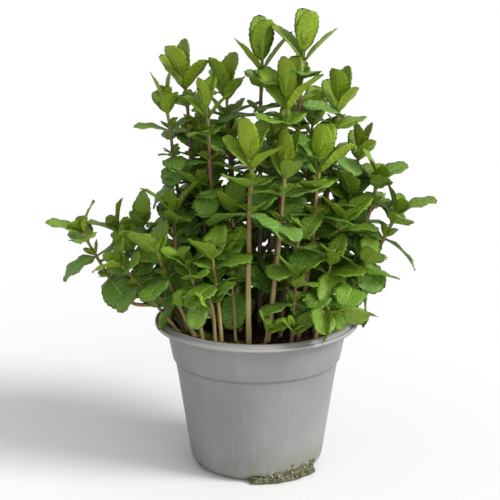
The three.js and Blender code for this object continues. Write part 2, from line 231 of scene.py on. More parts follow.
def leaf_finish(name, flesh_young, flesh_old, vein_young, vein_old, gloss, relief):
    """A mint leaf's side: netted veins, a grooved midrib, and colour that goes with age."""
    made = Finish(name, Coat_Weight=0.1, Coat_Roughness=0.42, Specular_IOR_Level=0.45)
    chart = made.node("ShaderNodeUVMap", {"uv_map": "leaf_map"})
    side = abs(made.part(chart, 0) * 2 - 1)
    run = made.part(chart, 1)
    place = made.place()
    age = made.attribute("age")
    tint = made.attribute("tint")
    cloud = made.noise(place, 90, 4)
    fleck = made.noise(place, 700, 2)
    rib = 1 - made.step(side + run * 0.05, 0.04, 0.12)
    across_vein = abs((run * VEIN_COUNT + 0.5 + (fleck - 0.5) * 0.25) % 1 - 0.5)
    vein = (1 - made.step(across_vein, 0.02, 0.15)) * (1 - made.step(side, 0.55, 0.95))
    inputs = {"Vector": made.stretched(chart, (0.6, 1, 1)), "Scale": 16}
    cells = made.node("ShaderNodeTexVoronoi", {"feature": "DISTANCE_TO_EDGE"}, inputs)
    net = 1 - made.step(cells, 0.0, 0.36)
    vein_colour = made.mix(age, vein_young, vein_old)
    flesh = made.layered(
        made.mix(age, flesh_young, flesh_old),
        (made.step(cloud, 0.35, 0.7) * 0.45, made.mix(age, "#7f9808", "#4b7c10")),  # clouds
        (made.step(tint, 0.5, 0.95) * age * 0.5, "#76984e"),  # painted sheen: some older leaves greyer, as if they reflect the light
        (made.step(0.45 - tint, 0.0, 0.45) * 0.5, "#557a0c"),  # deeper leaves
        (net * age * 0.3, "#3f6c0e"),  # lines of the net, darker: painted shade in the grooves between the quilted domes
        ((1 - net) * age * made.step(cloud, 0.4, 0.65) * 0.3, "#8aac5c"),  # painted sheen, paler on the quilted domes between the net
        (vein * 0.2, vein_colour),
        (rib * 0.7, vein_colour),
        (made.step(fleck, 0.5, 0.7) * (age * 0.26 + 0.05), "#a9c27c"),  # pale specks: painted glints
        (made.step(side, 0.86, 1.0) * 0.2, "#456018"),  # margin
    )
    rough = gloss + cloud * 0.14 + net * 0.08 + age * 0.06
    height = relief * (net * 0.5 + vein * 0.6 + rib) + fleck * 0.15
    return made.finish(flesh, rough, height, 0.0006, 0.8)


def stem_finish():
    """A square mint stem: tan at its foot, then brown, green at the tip, purple on tall shoots."""
    made = Finish("mint_stem", Specular_IOR_Level=0.4)
    place = made.place()
    run = made.attribute("along")
    streak = made.noise(made.stretched(place, (1, 1, 0.06)), 900, 3)
    cloud = made.noise(place, 60, 3)
    bark = made.layered(
        made.mix(made.step(run + cloud * 0.3, 0.25, 0.75), "#a39560", "#866744"),
        (made.step(made.attribute("tint"), 0.45, 0.72) * 0.75, "#5e3a3a"),  # purple
        (made.step(run, 0.8, 0.98) * 0.8, "#84923a"),  # green tip
        (made.step(streak, 0.5, 0.72) * 0.5, "#b09c6c"),  # pale ridges
        (made.step(0.5 - streak, 0.05, 0.25) * 0.5, "#57402a"),  # dark grooves
    )
    return made.finish(bark, 0.5 + streak * 0.2, streak, 0.0003, 0.5)


def pot_finish():
    """Satin grey plastic, scuffed, with a film of dirt at the base and under the rim."""
    made = Finish("grey_pot_plastic", Specular_IOR_Level=0.42)
    place = made.place()
    height = made.part(place, 2)
    grain = made.noise(place, 1500, 2)
    cloud = made.noise(place, 22, 4)
    streak = made.noise(made.stretched(place, (1, 1, 0.12)), 150, 3)
    scuff = made.step(made.noise(made.stretched(place, (0.35, 0.35, 1)), 420, 4, 0.7), 0.62, 0.72)
    dots = made.node("ShaderNodeTexVoronoi", inputs={"Vector": place, "Scale": 260})
    speck = (1 - made.step(dots, 0.05, 0.09)) * made.step(made.noise(place, 45, 2), 0.5, 0.62)
    rooted = made.step(made.part(place, 0) * 0.7 - made.part(place, 1) * 0.7, 0.018, 0.042)
    low = 1 - made.step(height + cloud * 0.016 - rooted * 0.006, 0.01, 0.03)
    film = low * made.step(streak + rooted * 0.12, 0.42, 0.66)
    under_rim = made.step(height, 0.0915, 0.0944) * (1 - made.step(height, 0.0944, 0.0952))
    # A dark line at the collar's step: painted shadow under the ledge.
    ledge_shadow = 1 - made.step(abs(height - 0.0706), 0.0003, 0.0018)
    # A pale line on the rim's outer bead: painted highlight.
    bead_highlight = made.step(height, 0.0945, 0.0955) * (1 - made.step(height, 0.0962, 0.0972))
    plastic = made.layered(
        made.mix(made.step(cloud, 0.35, 0.68), "#7d7d7d", "#878685"),
        (made.step(streak, 0.55, 0.75) * 0.3, "#949390"),  # pale streaks
        (scuff * 0.3, "#a6a5a2"),
        (ledge_shadow * 0.4, "#4c4b48"),  # painted shadow under the collar's step
        (bead_highlight * 0.45, "#b2b2b0"),  # painted highlight on the rim's bead
        (speck * 0.6, "#5e5a50"),
        (film * 0.45, "#6e7052"),
        (under_rim * made.step(streak, 0.4, 0.6) * 0.5, "#67694c"),
    )
    rough = 0.4 + cloud * 0.1 + film * 0.25 + scuff * 0.12 + grain * 0.05
    relief = grain * 0.5 + film * 0.6 - scuff * 0.4
    return made.finish(plastic, rough, relief, 0.00012, 0.35)


def earth_finish(name, dark, light, chip):
    """Peat, roots or moss: dark between its crumbs, with paler chips by each crumb's own shade."""
    made = Finish(name, Specular_IOR_Level=0.25)
    place = made.place()
    coarse = made.noise(place, 260, 5, 0.65)
    fine = made.noise(place, 1500, 4, 0.7)
    ground = made.layered(
        made.mix(made.step(coarse, 0.35, 0.68), dark, light),
        (made.step(fine, 0.56, 0.72) * 0.5, chip),
        (made.step(made.attribute("shade"), 0.55, 1.0) * 0.8, chip),
    )
    return made.finish(ground, 0.78 + fine * 0.2, coarse * 0.6 + fine * 0.4, 0.0009, 0.8)


LEAF_GREENS = ("#6f8e02", "#5b8814", "#a8b42a", "#92ae58")
UNDERSIDE_GREENS = ("#86a008", "#75962e", "#a9b640", "#8fa660")
DRY_YELLOWS = ("#c3b23c", "#8f8a34", "#d8cc78", "#b0a45a")

leaf_upper = leaf_finish("mint_leaf_upper", *LEAF_GREENS, gloss=0.34, relief=-1.0)
leaf_under = leaf_finish("mint_leaf_underside", *UNDERSIDE_GREENS, gloss=0.5, relief=1.0)
dry_leaf = leaf_finish("dry_leaf", *DRY_YELLOWS, gloss=0.55, relief=-1.0)
stem_bark = stem_finish()
pot_plastic = pot_finish()
peat = earth_finish("peaty_soil", "#17100b", "#33241a", "#6a4c30")
moss_green = earth_finish("moss_green", "#3a4412", "#6d7a22", "#a3a64a")
moss_brown = earth_finish("moss_fringe", "#2e2c12", "#5f621c", "#a2a23e")
root_brown = earth_finish("root_tangle", "#45442f", "#74765a", "#c0bda2")

# ---- shared making


rad = math.radians


def link(name, mesh):
    piece = bpy.data.objects.new(name, mesh)
    scene.collection.objects.link(piece)
    return piece


def claim(piece, node):
    """A piece that stands for a CAD node."""
    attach(piece, "root")
    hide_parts(node)
def polar(radius, angle, height):
    return Vector((radius * math.cos(angle), radius * math.sin(angle), height))


def mesh_from(name, points, faces):
    mesh = bpy.data.meshes.new(name)
    mesh.from_pydata([tuple(p) for p in points], [], faces)
    return mesh


def mesh_of(name, work):
    """The mesh of a bmesh, which is then let go."""
    mesh = bpy.data.meshes.new(name)
    work.to_mesh(mesh)
    work.free()
    return mesh


def shelve(shapes, name, mesh):
    """Keeps a mesh among the shapes that trees copy."""
    shapes.objects.link(bpy.data.objects.new(name, mesh))


def rework(mesh, operation, part, **settings):
    """Runs one bmesh operation over a whole mesh."""
    work = bmesh.new()
    work.from_mesh(mesh)
    operation(work, **{part: getattr(work, part)}, **settings)
    work.to_mesh(mesh)
    work.free()


def run_tree(name, source, group, values):
    """The plain mesh that a Geometry Nodes tree makes from a source mesh, as a piece."""
    carrier = link(name + "_carrier", source)
    modifier = carrier.modifiers.new("tree", "NODES")
    modifier.node_group = group
    for socket in group.interface.items_tree:
        if socket.in_out == "INPUT" and socket.name in values:
            modifier[socket.identifier] = values[socket.name]
    ready = carrier.evaluated_get(bpy.context.evaluated_depsgraph_get())
    mesh = bpy.data.meshes.new_from_object(ready)
    bpy.data.objects.remove(carrier)
    mesh.name = name
    mesh.shade_smooth()
    return link(name, mesh)


def new_tree(name, **inputs):
    """A Geometry Nodes group with named inputs, its builder and the wires of its inputs."""
    group = bpy.data.node_groups.new(name, "GeometryNodeTree")
    group.interface.new_socket(name="Geometry", in_out="OUTPUT", socket_type="NodeSocketGeometry")
    for label, kind in {"Geometry": "Geometry", **inputs}.items():
        kind = "NodeSocket" + kind
        group.interface.new_socket(label.replace("_", " "), in_out="INPUT", socket_type=kind)
    build = Nodes(group)
    entry = group.nodes.new("NodeGroupInput")
    wires = {socket.name: Wire(build, socket) for socket in entry.outputs if socket.name}
    return group, build, wires


def end_tree(group, build, geometry):
    leave = group.nodes.new("NodeGroupOutput")
    build.put(geometry, leave.inputs[0])


def named(build, name, kind="FLOAT"):
    return build.geo("InputNamedAttribute", {"Name": name}, {"data_type": kind})


def put_attribute(mesh, name, kind, domain, values):
    """Stores one value for each point or face of a mesh."""
    field = {"FLOAT_VECTOR": "vector"}.get(kind, "value")
    mesh.attributes.new(name, kind, domain).data.foreach_set(field, np.ravel(values))


# ---- leaf blades

# A blade's lengths are shares of its own length, and are scaled to the leaf's size later.
BLADE_ROWS = 16
BLADE_COLUMNS = 3  # on each side of the midrib
BLADE_THICKNESS = 0.022  # of each half, above and below the middle
BLADE_WELD = 0.0004
BROADENING = 0.62  # how a blade widens from its foot; a lower number is sooner
STALK_END, STALK_WIDTH = 0.14, 0.045
TEETH_FROM, TEETH_TO, TOOTH_DEPTH = 0.12, 0.97, 0.06
MIDRIB_LAG = 0.42  # how far a row's middle stays behind its ends, which makes side veins slant
VEIN_SWELL, GROOVE_DEPTH, GROOVE_WIDTH = 0.011, 0.014, 0.2

# Blade shapes: half width to length, sharpness of the tip (a lower number is blunter), fold along
# the midrib, bend down towards the tip, twist, and waviness of the margin. Fold and twist are
# degrees, the bend is radians. Young blades come first, then grown ones, then round ones.
BLADES = [
    (0.275, 0.52, 20, 0.25, 4, 0.010), (0.295, 0.5, 26, 0.42, -5, 0.014),
    (0.265, 0.56, 18, 0.12, 7, 0.012), (0.285, 0.52, 30, 0.5, -3, 0.010),
    (0.33, 0.62, 14, 0.5, 6, 0.020), (0.35, 0.58, 10, 0.7, -8, 0.026),
    (0.32, 0.68, 18, 0.35, 10, 0.020), (0.34, 0.6, 22, 0.6, 12, 0.024),
    (0.4, 0.52, 8, 0.8, -6, 0.030), (0.42, 0.5, 12, 0.95, -10, 0.034),
    (0.39, 0.56, 6, 0.7, 8, 0.034), (0.41, 0.52, 15, 0.85, 5, 0.030),
]
BLADE_GROUP = 4  # blades in each of the three kinds


def blade_surface(half_width, sharpness, fold, bend, twist, wave):
    """A blade's upper and lower points, row by row, and where each one is on the leaf's chart."""
    rows = np.linspace(0, 1, BLADE_ROWS + 1)[:, None]
    sides = np.linspace(-1, 1, 2 * BLADE_COLUMNS + 1)[None, :]
    side = np.sign(sides) * np.abs(sides) ** 0.85
    reach = np.abs(side)
    peak = BROADENING / (BROADENING + sharpness)
    outline = rows**BROADENING * (1 - rows) ** sharpness
    outline /= peak**BROADENING * (1 - peak) ** sharpness
    stalk = STALK_WIDTH * (1 - np.clip(rows / STALK_END, 0, 1) ** 2)
    width = half_width * outline * np.clip(rows / 0.1, 0, 1) ** 0.8 + stalk * half_width * 2
    odd_row = (np.arange(BLADE_ROWS + 1) % 2)[:, None]
    toothed = odd_row * (rows > TEETH_FROM) * (rows < TEETH_TO)
    tooth = np.where(reach > 0.99, toothed - 0.45, 0) * TOOTH_DEPTH * half_width * (rows > 0.1)
    midrib = rows - MIDRIB_LAG * rows * (1 - rows)
    x = side * (width + tooth)
    y = midrib * (1 - reach) + rows * reach + np.maximum(tooth, 0) * 1.3
    swell = np.cos(rows * 2 * np.pi * VEIN_COUNT) * -VEIN_SWELL
    swell = swell * np.sin(reach * np.pi * 0.9) * outline
    groove = -GROOVE_DEPTH * np.exp(-((reach / GROOVE_WIDTH) ** 2)) * outline
    ruffle = wave * reach**2 * np.sin(rows * 15 + np.sign(side) * 1.1 + half_width * 40)
    lift = np.abs(x) * math.tan(rad(fold)) * (1 - 0.5 * reach) + swell + groove + ruffle
    thickness = BLADE_THICKNESS * (1 - reach**2) * (1 - 0.6 * rows) * np.clip(8 * (1 - rows), 0, 1)
    points = []
    for sign in (1, -1):
        z = lift + sign * thickness
        turn = rad(twist) * 2 * (y - 0.3)
        tx = x * np.cos(turn) - z * np.sin(turn)
        tz = x * np.sin(turn) + z * np.cos(turn)
        curve = bend * y
        by = np.sin(curve) / bend + tz * np.sin(curve)
        bz = (np.cos(curve) - 1) / bend + tz * np.cos(curve)
        points.append(np.stack([tx, by, bz], axis=-1).reshape(-1, 3))
    chart = np.stack(np.broadcast_arrays(side * 0.5 + 0.5, rows), axis=-1).reshape(-1, 2)
    return np.concatenate(points), np.concatenate([chart, chart])


def make_blade(name, shape):
    """A toothed mint leaf of unit length, across X and along Y, with its upper side to +Z. Its rows
    run along the side veins, and it swells between them."""
    points, chart = blade_surface(*shape)
    across = 2 * BLADE_COLUMNS + 1
    total = across * (BLADE_ROWS + 1)
    faces = []
    under = []
    for row in range(BLADE_ROWS):
        for column in range(across - 1):
            a = row * across + column
            top = (a, a + 1, a + across + 1, a + across)
            faces += [top, tuple(corner + total for corner in reversed(top))]
            under += [False, True]
    for column in range(across - 1):
        faces.append((column + 1, column, column + total, column + 1 + total))
        under.append(True)
    mesh = mesh_from(name, points, faces)
    put_attribute(mesh, "under", "BOOLEAN", "FACE", under)
    corners = np.zeros(len(mesh.loops), int)
    mesh.loops.foreach_get("vertex_index", corners)
    mesh.uv_layers.new(name="leaf_map").data.foreach_set("uv", chart[corners].ravel())
    rework(mesh, bmesh.ops.remove_doubles, "verts", dist=BLADE_WELD)
    return mesh


blade_shapes = bpy.data.collections.new("blade_shapes")
for number, shape in enumerate(BLADES):
    name = f"blade_{number:02d}"
    shelve(blade_shapes, name, make_blade(name, shape))

# ---- shoots

SOIL_LEVEL = 90
PLANTED_DEPTH = 6

# Leaf pairs from the tip of a shoot downwards: how far below the tip, the length against the
# shoot's own leaf length, and the angle between the leaf and the stem.
BUD = [(0, 0.28, 8), (1, 0.5, 12)]
PAIRS = [
    (3, 0.95, 11), (9, 1.0, 38), (20, 1.0, 62), (37, 1.0, 88), (54, 0.95, 104), (72, 0.9, 112),
    (90, 0.85, 114), (110, 0.8, 114), (130, 0.75, 114),
]
# How far below the tip leaves begin to age, and where grown blades and round blades take over.
YOUNG_UNTIL = 4
GROWN_BELOW = 15
ROUND_BELOW = 45
AGEING = 34  # how much further below the tip a leaf is at its full age

# A shoot whose tip is lower than this spreads its leaves wider, by so many degrees, and its leaves
# are as old as others are so much further down.
LOW_TIP = 200
LOW_SPREAD = 20
LOW_AGEING = 10
WIDEST = 122  # no leaf stands further than this from its stem

# How leaves stray from the rule: turn, lean and roll in degrees, age and tint, and the length.
TURN_STRAY, LEAN_STRAY, ROLL_STRAY = 7, 5, 8
AGE_STRAY, TINT_STRAY = 0.08, 0.2
LENGTH_RANGE = (0.92, 1.05)

# Small young leaves beside each lower leaf, in its angle with the stem: their turn from it in
# radians, their lean as a share of its own, how their roll strays, their length and their age.
ANGLE_TURN, ANGLE_LEAN, ANGLE_ROLL = 0.7, 0.55, 10
ANGLE_LENGTH = (0.3, 0.42)
ANGLE_AGE, ANGLE_AGE_STRAY = 0.25, 0.1

# A shoot's stem is purple if its tip is higher than this, and fully so from so much higher.
PURPLE_FROM, PURPLE_RISE = 212, 25
NODE_SWELL, NODE_LENGTH = 0.28, 1.6  # a stem's thickening at a pair of leaves
STEM_SWAY = 0.35

# Shoots by kind: where each one leaves the soil, the points that its stem goes through, the number
# of leaf pairs, the leaf length, the stem's thickness and the compass turn of its top pair.
TALL_SHOOTS = [
    ((-30, 8), [(-47, 10, 160), (-57, 10, 236)], 8, 23, 2.9, 20),
    ((-24, 15), [(-37, 18, 165), (-46, 20, 250)], 8, 28, 3.1, 50),
    ((-20, -4), [(-27, -6, 165), (-31, -5, 236)], 8, 23, 2.9, 70),
    ((-12, 16), [(-16, 16, 165), (-19, 15, 244)], 8, 25, 2.9, 30),
    ((2, 7), [(2, 6, 170), (3, 5, 264)], 9, 29, 3.4, 100),
    ((14, 4), [(22, 0, 175), (29, -4, 271)], 9, 28, 3.4, 95),
    ((9, -9), [(14, -12, 165), (19, -13, 243)], 6, 31, 3.4, 60),
    ((27, 12), [(42, 12, 155), (52, 10, 237)], 8, 25, 3.1, 40),
    ((36, 20), [(55, 19, 145), (66, 15, 205)], 7, 22, 2.6, 25),
    ((44, -6), [(61, -4, 132), (77, 0, 190)], 6, 24, 3.1, 10),
    ((47, -16), [(66, -14, 124), (88, -10, 170)], 5, 27, 3.1, 0),
    ((-5, -38), [(-5, -37, 150), (-3, -34, 210)], 4, 29, 3.8, 50),
    ((6, -34), [(12, -32, 140), (18, -28, 203)], 4, 26, 3.4, 20),
    ((25, -20), [(34, -18, 148), (39, -15, 204)], 5, 28, 3.4, 75),
]
# These lean out over the rim at the left.
SIDE_SHOOTS = [
    ((-44, -8), [(-50, -9, 130), (-52, -10, 170)], 5, 30, 3.4, 15),
    ((-36, 12), [(-58, 9, 122), (-73, 5, 158)], 4, 24, 2.6, 50),
    ((-42, 17), [(-70, 15, 122), (-90, 14, 152)], 4, 25, 2.6, 10),
    ((-42, -20), [(-66, -22, 116), (-86, -24, 140)], 3, 25, 2.6, 35),
    ((-34, -30), [(-50, -30, 118), (-62, -29, 150)], 4, 27, 2.9, 60),
    ((-44, 1), [(-64, -3, 116), (-79, -7, 146)], 3, 25, 2.6, 80),
]
MIDDLE_SHOOTS = [
    ((-20, 27), [(-29, 26, 150), (-36, 24, 208)], 7, 27, 2.9, 45),
    ((-9, 26), [(-13, 27, 150), (-17, 28, 214)], 7, 27, 2.9, 5),
    ((20, 22), [(29, 22, 150), (36, 22, 220)], 8, 27, 2.9, 80),
    ((28, 28), [(39, 29, 145), (49, 29, 194)], 6, 27, 2.9, 20),
    ((39, 7), [(51, 8, 140), (60, 9, 178)], 5, 28, 2.9, 65),
    ((35, -10), [(46, -12, 135), (54, -14, 166)], 5, 28, 2.9, 38),
    ((-24, 2), [(-31, 2, 140), (-36, 2, 184)], 6, 28, 2.9, 30),
    ((-10, -14), [(-13, -16, 135), (-15, -17, 172)], 5, 27, 2.9, 80),
    ((14, -20), [(20, -24, 130), (27, -27, 158)], 4, 25, 2.6, 55),
    ((45, -24), [(57, -27, 120), (68, -30, 143)], 3, 25, 2.6, 85),
]
BACK_SHOOTS = [
    ((7, 40), [(9, 43, 145), (10, 46, 200)], 7, 27, 2.9, 35),
    ((-16, 40), [(-23, 43, 140), (-28, 46, 188)], 6, 27, 2.9, 70),
    ((27, 38), [(34, 43, 138), (39, 48, 184)], 6, 27, 2.9, 10),
    ((-34, 30), [(-43, 33, 122), (-50, 37, 152)], 4, 27, 2.9, 85),
    ((42, 24), [(56, 30, 124), (68, 37, 158)], 4, 27, 2.9, 50),
    ((-5, 47), [(-6, 58, 120), (-6, 69, 154)], 4, 27, 2.6, 0),
    ((19, 44), [(26, 57, 118), (32, 70, 145)], 3, 25, 2.6, 30),
    ((-25, 41), [(-35, 54, 118), (-44, 63, 144)], 3, 25, 2.6, 60),
]
# At soil height, front ones first.
SPROUTS = [
    ((-21, -40), [(-24, -42, 122), (-27, -44, 150)], 3, 26, 2.6, 65),
    ((-32, -38), [(-37, -40, 120), (-41, -42, 143)], 3, 25, 2.6, 10),
    ((-13, -29), [(-15, -30, 124), (-17, -32, 150)], 3, 24, 2.2, 38),
    ((-25, -42), [(-27, -45, 114), (-30, -49, 126), (-33, -54, 125)], 2, 23, 2.2, 80),
    ((21, -37), [(23, -38, 116), (25, -39, 137)], 3, 24, 2.2, 20),
    ((36, -26), [(41, -27, 118), (46, -28, 142)], 3, 25, 2.2, 60),
    ((4, -49), [(5, -50, 98), (7, -51, 106)], 1, 17, 1.9, 10),
    ((19, -47), [(21, -48, 97), (23, -49, 104)], 1, 20, 2.2, 40),
    ((34, -38), [(38, -42, 108), (42, -47, 118), (45, -52, 116)], 2, 28, 2.4, 5),
    ((50, -8), [(54, -8, 100), (58, -9, 110)], 2, 24, 2.2, 70),
    ((40, 28), [(45, 33, 102), (52, 40, 119)], 2, 24, 2.2, 35),
    ((-41, 24), [(-46, 30, 102), (-57, 40, 120)], 2, 24, 2.2, 75),
]
RUNNER_ROUTE = [(-54, 6, 101), (-66, 3, 104), (-79, 0, 106), (-91, 0, 119), (-111, 0, 155)]
RUNNER = ((-46, 7), RUNNER_ROUTE, 4, 26, 2.8, 5)


def smooth_route(places, steps=60):
    """A centripetal Catmull-Rom curve through the places, as closely set points."""
    ends = [2 * places[0] - places[1], *places, 2 * places[-1] - places[-2]]
    route = [places[0]]
    for a, b, c, d in zip(ends, ends[1:], ends[2:], ends[3:]):
        gaps = [np.sqrt(np.linalg.norm(q - p)) for p, q in ((a, b), (b, c), (c, d))]
        leave = (b - a) / gaps[0] - (c - a) / (gaps[0] + gaps[1]) + (c - b) / gaps[1]
        arrive = (c - b) / gaps[1] - (d - b) / (gaps[1] + gaps[2]) + (d - c) / gaps[2]
        leave, arrive = leave * gaps[1], arrive * gaps[1]
        for step in range(1, steps + 1):
            t = step / steps
            cubic = (2 * b - 2 * c + leave + arrive) * t**3
            square = (3 * c - 3 * b - 2 * leave - arrive) * t**2
            route.append(cubic + square + leave * t + b)
    return np.array(route)


class Stem:
    """A shoot's stem, with places by how far along it they are."""

    def __init__(self, places):
        self.points = smooth_route([np.array(place, float) for place in places])
        gaps = np.linalg.norm(np.diff(self.points, axis=0), axis=1)
        self.runs = np.concatenate([[0], np.cumsum(gaps)])
        self.length = self.runs[-1]

    def at(self, run):
        return np.array([np.interp(run, self.runs, self.points[:, axis]) for axis in range(3)])

    def heading(self, run):
        ahead = self.at(min(run + 0.5, self.length)) - self.at(max(run - 0.5, 0))
        return ahead / np.linalg.norm(ahead)


def outward_from(heading, compass):
    """The way straight out of a stem that is nearest to a compass bearing."""
    outward = np.array([math.cos(compass), math.sin(compass), 0])
    outward -= heading * outward.dot(heading)
    return outward / np.linalg.norm(outward)


def leaf_turn(heading, outward, angle, roll):
    """The turn of a leaf that leaves a stem: along Y, upper side +Z, rolled about its length."""
    along = math.cos(angle) * heading + math.sin(angle) * outward
    up = math.sin(angle) * heading - math.cos(angle) * outward
    across = np.cross(along, up)
    turn = Matrix(np.array([across, along, up]).T.tolist())
    return (turn @ Matrix.Rotation(rad(roll), 3, "Y")).to_euler()


def grow_leaves(chance, stem, low, tint, pairs, leaf_length, thickness, turn):
    """A shoot's leaves as (place, turn, length, blade, age, tint), and where its pairs are."""
    leaves = []
    nodes = []
    for number, (below, size, angle) in enumerate([*BUD, *PAIRS[:pairs]], start=-len(BUD)):
        run = max(0.05 * stem.length, stem.length - below)
        nodes.append(run)
        place, heading = stem.at(run), stem.heading(run)
        age = np.clip((below - YOUNG_UNTIL + LOW_AGEING * low) / AGEING, 0, 1)
        kind = min(2, low + (below > GROWN_BELOW) + (below > ROUND_BELOW))
        for half in (0, 180):
            compass = rad(turn + 90 * number + half + chance.normal(0, TURN_STRAY))
            lean = rad(min(angle + LOW_SPREAD * low, WIDEST) + chance.normal(0, LEAN_STRAY))
            outward = outward_from(heading, compass)
            euler = leaf_turn(heading, outward, lean, chance.normal(0, ROLL_STRAY))
            blade = BLADE_GROUP * kind + chance.integers(0, BLADE_GROUP)
            length = leaf_length * size * chance.uniform(*LENGTH_RANGE)
            shades = age + chance.normal(0, AGE_STRAY), tint + chance.normal(0, TINT_STRAY)
            leaves.append((place + outward * thickness * 0.25, euler, length, blade, *shades))
            if below <= GROWN_BELOW:
                continue
            spot = stem.at(run + 1.5) + outward * thickness * 0.3
            for side in (-1, 1):
                aside = outward_from(heading, compass + side * ANGLE_TURN)
                roll = chance.normal(0, ANGLE_ROLL)
                euler = leaf_turn(heading, aside, rad(angle * ANGLE_LEAN), roll)
                length = leaf_length * chance.uniform(*ANGLE_LENGTH)
                blade = chance.integers(0, BLADE_GROUP)
                young = ANGLE_AGE + chance.normal(0, ANGLE_AGE_STRAY)
                leaves.append((spot, euler, length, blade, young, tint))
    return leaves, nodes


def draft_shoot(name, root, places, pairs, leaf_length, thickness, turn):
    """The source mesh of a shoot: its stem as edges, and one loose point for each leaf."""
    chance = np.random.default_rng(sum(ord(letter) * 7 for letter in name))
    stem = Stem([(*root, SOIL_LEVEL - PLANTED_DEPTH), *places])
    tip = places[-1][2]
    tint = chance.uniform(0.25, 0.75)
    purple = chance.uniform(0.2, 0.42) + 0.4 * np.clip((tip - PURPLE_FROM) / PURPLE_RISE, 0, 1)
    low = tip < LOW_TIP
    leaves, nodes = grow_leaves(chance, stem, low, tint, pairs, leaf_length, thickness, turn)
    spots, turns, lengths, blades, ages, tints = zip(*leaves)
    count = max(8, int(stem.length / 2))
    runs = np.linspace(0, stem.length - 0.5, count)
    share = runs / stem.length
    swell = sum(np.exp(-(((runs - node) / NODE_LENGTH) ** 2)) for node in nodes[len(BUD) + 1 :])
    widths = thickness * (1.02 - 0.42 * runs / stem.length)
    widths = widths * (1 + NODE_SWELL * np.clip(swell, 0, 1))
    sway = STEM_SWAY * np.sin(runs[:, None] * 0.11 + chance.uniform(0, 6, 2)) * share[:, None]
    line = np.array([stem.at(run) for run in runs])
    line[:, :2] += sway
    points = np.concatenate([line, spots]) * MM
    mesh = bpy.data.meshes.new(name + "_draft")
    mesh.from_pydata(points.tolist(), [(i, i + 1) for i in range(count - 1)], [])
    number = len(leaves)
    attributes = [
        ("is_leaf", "BOOLEAN", np.zeros(count, bool), np.ones(number, bool)),
        ("turn", "FLOAT_VECTOR", np.zeros((count, 3)), turns),
        ("size", "FLOAT", widths * MM, np.array(lengths) * MM),
        ("shape", "INT", np.zeros(count, np.int32), np.array(blades, np.int32)),
        ("age", "FLOAT", np.zeros(count), np.clip(ages, 0, 1)),
        ("tint", "FLOAT", np.full(count, purple), np.clip(tints, 0, 1)),
        ("along", "FLOAT", share, np.ones(number)),
    ]
    for label, kind, of_stem, of_leaves in attributes:
        put_attribute(mesh, label, kind, "POINT", np.concatenate([of_stem, of_leaves]))
    return mesh


def tube(build, lines, corner_points, rounding):
    """Tubes along a mesh's edges, as wide as the size attribute, with a rounded square section."""
    curve = build.geo("MeshToCurve", {"Mesh": lines})
    inputs = {"Width": 0.92, "Height": 0.92}
    square = build.geo("CurvePrimitiveQuadrilateral", inputs)
    inputs = {"Curve": square, "Count": corner_points, "Radius": rounding}
    section = build.geo("FilletCurve", inputs, {"mode": "POLY"})
    inputs = {"Curve": curve, "Profile Curve": section, "Scale": named(build, "size")}
    return build.geo("CurveToMesh", {**inputs, "Fill Caps": True})


def with_material(build, geometry, material, **more):
    inputs = {0: geometry, "Material": material, **more}
    return build.geo("SetMaterial", inputs)


def copies(build, spots, shapes, turn, size, **more):
    """Copies of a collection's shapes, set on points."""
    inputs = {0: shapes, "Separate Children": True, "Reset Children": True}
    inputs = {"Instance": build.geo("CollectionInfo", inputs), **more}
    inputs.update({"Points": spots, "Pick Instance": True, "Rotation": turn, "Scale": size})
    return build.geo("InstanceOnPoints", inputs)


def shoot_tree():
    """A stem along the draft's edges, with a leaf blade on each of its loose points."""
    group, build, wires = new_tree(
        "mint_shoot", Blades="Collection", Stem_Rounding="Float",
        Leaf_Upper="Material", Leaf_Underside="Material", Stem_Bark="Material",
    )
    stem = tube(build, wires["Geometry"], 2, wires["Stem Rounding"])
    stem = with_material(build, stem, wires["Stem Bark"])
    inputs = {"Mesh": wires["Geometry"], "Selection": named(build, "is_leaf", "BOOLEAN")}
    spots = build.geo("MeshToPoints", inputs)
    inputs = {0: named(build, "turn", "FLOAT_VECTOR")}
    turn = build.node("FunctionNodeEulerToRotation", inputs=inputs)
    pick = {"Instance Index": named(build, "shape", "INT")}
    leaves = copies(build, spots, wires["Blades"], turn, named(build, "size"), **pick)
    leaves = build.geo("RealizeInstances", {0: leaves})
    leaves = with_material(build, leaves, wires["Leaf Upper"])
    under = named(build, "under", "BOOLEAN")
    leaves = with_material(build, leaves, wires["Leaf Underside"], Selection=under)
    end_tree(group, build, build.geo("JoinGeometry", {0: [stem, leaves]}))
    return group


shoot_group = shoot_tree()
shoot_values = {
    "Blades": blade_shapes,
    "Stem Rounding": 0.24,
    "Leaf Upper": leaf_upper,
    "Leaf Underside": leaf_under,
    "Stem Bark": stem_bark,
}


def make_shoot(name, *growth):
    shoot = run_tree(name, draft_shoot(name, *growth), shoot_group, shoot_values)
    claim(shoot, name)


def make_shoots(kind, shoots):
    for number, growth in enumerate(shoots, start=1):
        make_shoot(f"{kind}_{number}", *growth)


make_shoots("tall_shoot", TALL_SHOOTS)
make_shoots("side_shoot", SIDE_SHOOTS)
make_shoot("runner", *RUNNER)
make_shoots("middle_shoot", MIDDLE_SHOOTS)
make_shoots("back_shoot", BACK_SHOOTS)
make_shoots("sprout", SPROUTS)

# ---- pot

POT_HEIGHT = 98
POT_SEGMENTS = 192
WALL = 1.4
BASE_RADIUS = 34
CORNER_RADIUS = 9
STEP_HEIGHT = 71
WALL_TOP_RADIUS = 52.3
COLLAR_FOOT_RADIUS = 53.8
COLLAR_TOP_RADIUS = 58.2
RIM_RADIUS = 65
SLOT_COUNT = 6
SLOT_PLACE = 37  # from the pot's axis to a slot's middle
SLOT_HALF_LENGTH, SLOT_ROUND = 2.5, 3.5
SLOT_BAR = 10  # the height of the bar that cuts it


